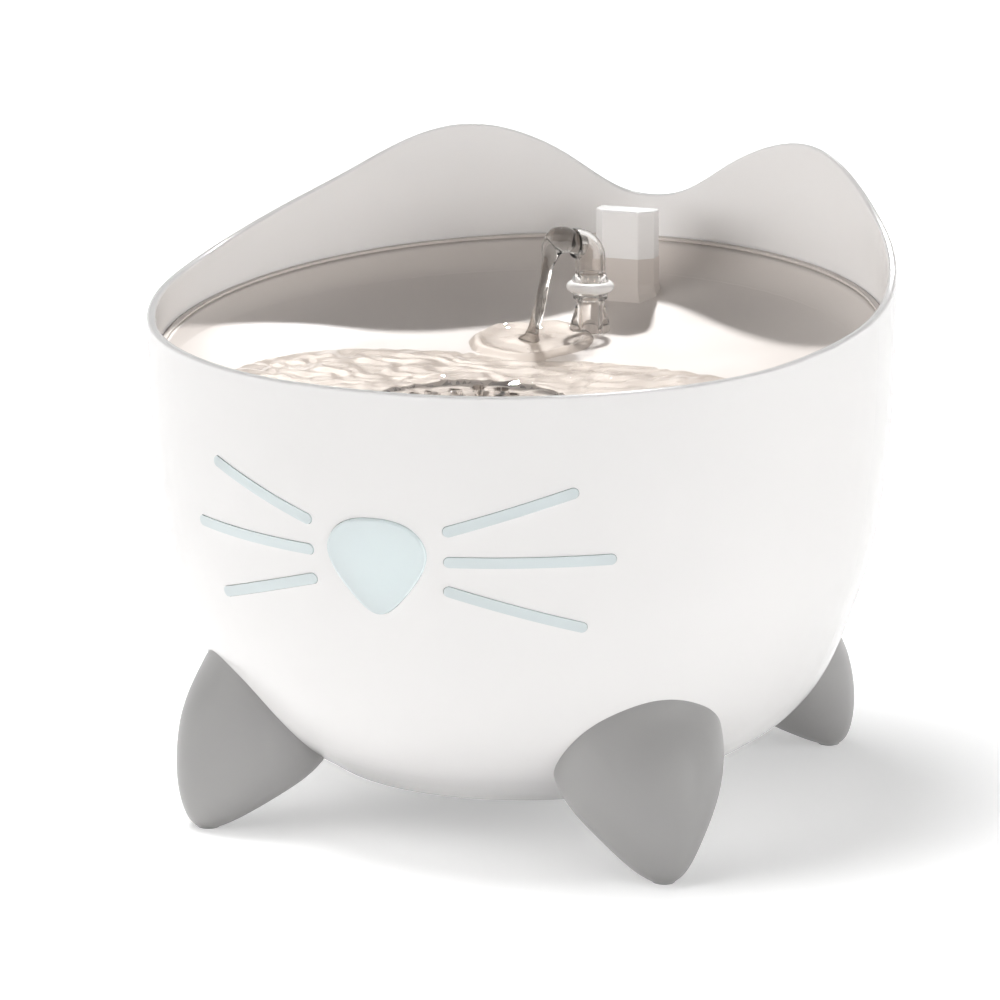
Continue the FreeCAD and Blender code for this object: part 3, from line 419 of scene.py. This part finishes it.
def tray_shoulder(material):
    """Slope that carries the dish up to the tray's rim all round."""
    tray = tray_surface()[:1]
    corners = []
    for number in range(SHOULDER_TURNS):
        turn = 2 * math.pi * number / SHOULDER_TURNS
        across = Vector((math.sin(turn), -math.cos(turn), 0))
        rim = ground(tray, *(across * LIP_RADIUS).xy) - SHOULDER_DROP
        foot = ground(tray, *(across * SHOULDER_INNER).xy)
        under = foot - SHOULDER_THICKNESS
        profile = [(SHOULDER_LIP, under), (SHOULDER_INNER, under)]
        start = foot - SHOULDER_SUNK
        for step in range(SHOULDER_STEPS + 1):
            share = step / SHOULDER_STEPS
            radius = SHOULDER_INNER + (SHOULDER_LIP - SHOULDER_INNER) * share
            rise = share - SHOULDER_HOLLOW * math.sin(math.pi * share)
            profile.append((radius, start + (rim - start) * rise))
        corners += [(across * radius + Vector((0, 0, z))) * MM for radius, z in profile]
    size = SHOULDER_STEPS + 3
    faces = []
    for number in range(SHOULDER_TURNS):
        here = number * size
        there = (number + 1) % SHOULDER_TURNS * size
        for step in range(size):
            after = (step + 1) % size
            faces.append([here + step, here + after, there + after, there + step])
    return new_piece("tray_shoulder", corners, faces, "tray", material)


def between(before, start, end, after, share):
    """Point on a smooth curve from start to end."""
    squared = share * share
    cubed = squared * share
    return 0.5 * (2 * start + (end - before) * share + (2 * before - 5 * start + 4 * end - after) * squared
                  + (3 * start - before - 3 * end + after) * cubed)


def jet_stations():
    stations = []
    for number in range(len(JET) - 1):
        picks = [JET[max(0, number - 1)], JET[number], JET[number + 1], JET[min(len(JET) - 1, number + 2)]]
        for step in range(JET_STEPS):
            share = step / JET_STEPS
            stations.append([between(*values, share) for values in zip(*picks)])
    return stations + [list(JET[-1])]


def jet(material):
    """Stream that wells up at the outlet and falls to the deck as a narrow band."""
    turn = math.radians(SPOUT_TURN)
    ahead = Vector((-math.sin(turn), -math.cos(turn), 0))
    aside = Vector((math.cos(turn), -math.sin(turn), 0))
    axis = Vector((0, SPOUT_AXIS_Y, 0))
    stations = jet_stations()
    centres = [axis + ahead * (SPOUT_REACH + reach) + Vector((0, 0, z)) for reach, z, _, _ in stations]
    corners = []
    for number, (_, _, half_width, half_thick) in enumerate(stations):
        along = centres[min(number + 1, len(centres) - 1)] - centres[max(number - 1, 0)]
        outward = along.cross(aside).normalized()
        for side in range(JET_SIDES):
            angle = 2 * math.pi * side / JET_SIDES
            spoke = aside * (half_width * math.cos(angle)) + outward * (half_thick * math.sin(angle))
            point = centres[number] + spoke
            wobble = noise.noise(point / JET_WOBBLE_SIZE) * JET_WOBBLE * smooth(number / JET_CALM)
            corners.append((point + spoke.normalized() * wobble) * MM)
    faces = []
    for number in range(len(stations) - 1):
        for side in range(JET_SIDES):
            beside = (side + 1) % JET_SIDES
            low = number * JET_SIDES
            high = low + JET_SIDES
            faces.append([low + side, low + beside, high + beside, high + side])
    faces.append(list(range(JET_SIDES)))
    faces.append(list(range(len(corners) - JET_SIDES, len(corners))))
    return new_piece("water_jet", corners, faces, "spout", material)


# Stage

def studio_floor():
    bpy.ops.mesh.primitive_plane_add(size=14, location=(0, 0, 0))
    floor = bpy.context.object
    floor.name = "studio_floor"
    material, tree, shader, output = empty_material("studio_floor")
    vary_color(tree, shader, (0.9, 0.9, 0.9), 0.004, 3)
    shader.inputs["Roughness"].default_value = 0.9
    shader.inputs["Specular IOR Level"].default_value = 0.0
    glow = tree.nodes.new("ShaderNodeEmission")
    tree.links.new(seen_rays(tree, FLOOR_GLOW, 0.0), glow.inputs["Strength"])
    total = tree.nodes.new("ShaderNodeAddShader")
    tree.links.new(shader.outputs["BSDF"], total.inputs[0])
    tree.links.new(glow.outputs["Emission"], total.inputs[1])
    tree.links.new(total.outputs["Shader"], output.inputs["Surface"])
    floor.data.materials.append(material)
    return floor


def seen_rays(tree, seen, unseen):
    """One value for rays that show the surface, directly or in gloss or glass, and another for the rest."""
    path = tree.nodes.new("ShaderNodeLightPath")
    first = tree.nodes.new("ShaderNodeMath")
    first.operation = "MAXIMUM"
    tree.links.new(path.outputs["Is Camera Ray"], first.inputs[0])
    tree.links.new(path.outputs["Is Glossy Ray"], first.inputs[1])
    second = tree.nodes.new("ShaderNodeMath")
    second.operation = "MAXIMUM"
    tree.links.new(first.outputs["Value"], second.inputs[0])
    tree.links.new(path.outputs["Is Transmission Ray"], second.inputs[1])
    span = tree.nodes.new("ShaderNodeMapRange")
    span.inputs["To Min"].default_value = unseen
    span.inputs["To Max"].default_value = seen
    tree.links.new(second.outputs["Value"], span.inputs["Value"])
    return span.outputs["Result"]


def white_world():
    world = bpy.data.worlds.new("white_world")
    bpy.context.scene.world = world
    world.use_nodes = True
    tree = world.node_tree
    background = tree.nodes["Background"]
    background.inputs["Color"].default_value = (1, 1, 1, 1)
    tree.links.new(seen_rays(tree, 1.0, AMBIENT), background.inputs["Strength"])


def link_light(light, pieces, state):
    """Keeps a light off some pieces or, with the state INCLUDE, on those pieces alone."""
    group = bpy.data.collections.new(light.name + "_receivers")
    for piece in pieces:
        group.objects.link(piece)
    light.light_linking.receiver_collection = group
    for member in group.collection_objects:
        member.light_linking.link_state = state


def light_scene(floor):
    add_light("left_fill", LEFT_FILL, in_gloss=False)
    add_light("right_fill", RIGHT_FILL, in_gloss=False)
    shell = nodes["reservoir_shell"]
    link_light(add_light("key", KEY), [floor, shell], "EXCLUDE")
    link_light(add_light("shell_key", SHELL_KEY), [shell], "INCLUDE")
    link_light(add_light("floor_light", FLOOR_LIGHT), [floor], "INCLUDE")
    add_softbox("right_softbox", SOFTBOX)


add_camera()
finishes = all_materials()
dress_frame(finishes)
tray_shoulder(finishes["tray_white"])
water = water_material()
pool(water)
jet(water)
light_scene(studio_floor())
white_world()
bpy.context.scene.view_settings.view_transform = "Standard"
